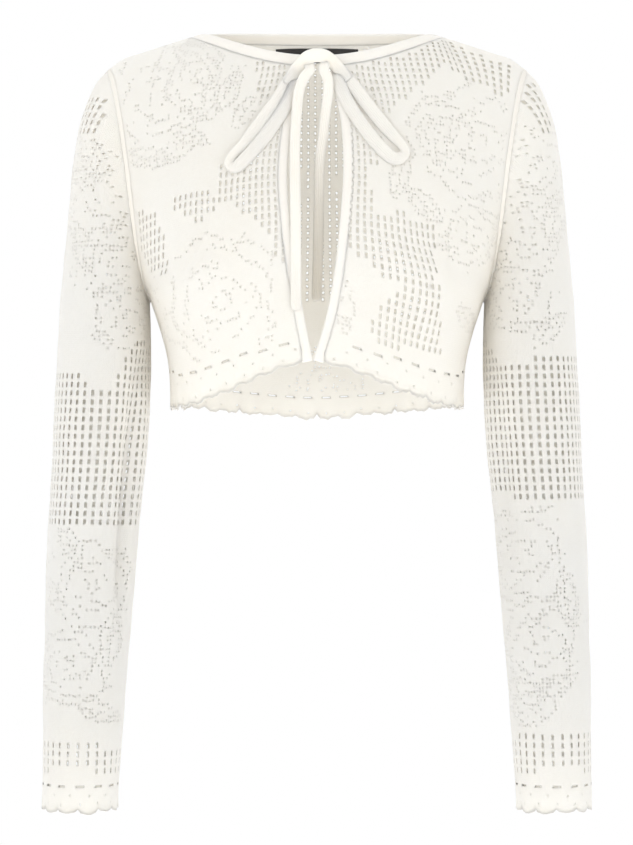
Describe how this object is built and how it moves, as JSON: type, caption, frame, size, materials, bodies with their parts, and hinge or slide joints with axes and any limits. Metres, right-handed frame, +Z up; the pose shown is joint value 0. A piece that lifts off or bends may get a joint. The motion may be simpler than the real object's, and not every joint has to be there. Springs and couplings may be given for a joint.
{
  "type": "cropped cardigan",
  "caption": "Cropped openwork knit cardigan with long sleeves, scalloped edges and a tie at the neck, filled out as worn.",
  "frame": {"origin": "middle of the neck opening, level with the highest point of the shoulders", "axes": "+Z up, +X to the viewer's right from the front, -Y towards the front of the garment"},
  "size_m": [0.4888, 0.2413, 0.7031],
  "materials": {
    "knit": "ivory openwork knit",
    "band_knit": "ivory plain double knit",
    "tie_knit": "ivory knitted cord",
    "label_weave": "black woven satin"
  },
  "bodies": {
    "root": {"front_left": "knit", "front_right": "knit", "back": "knit", "sleeve_left": "knit", "sleeve_right": "knit", "front_band_left": "band_knit", "front_band_right": "band_knit", "neck_band": "band_knit", "bow_knot": "tie_knit", "bow_loop_left": "tie_knit", "bow_loop_right": "tie_knit", "tie_tail_left": "tie_knit", "tie_tail_centre": "tie_knit", "label": "label_weave"}
  },
  "joints": []
}
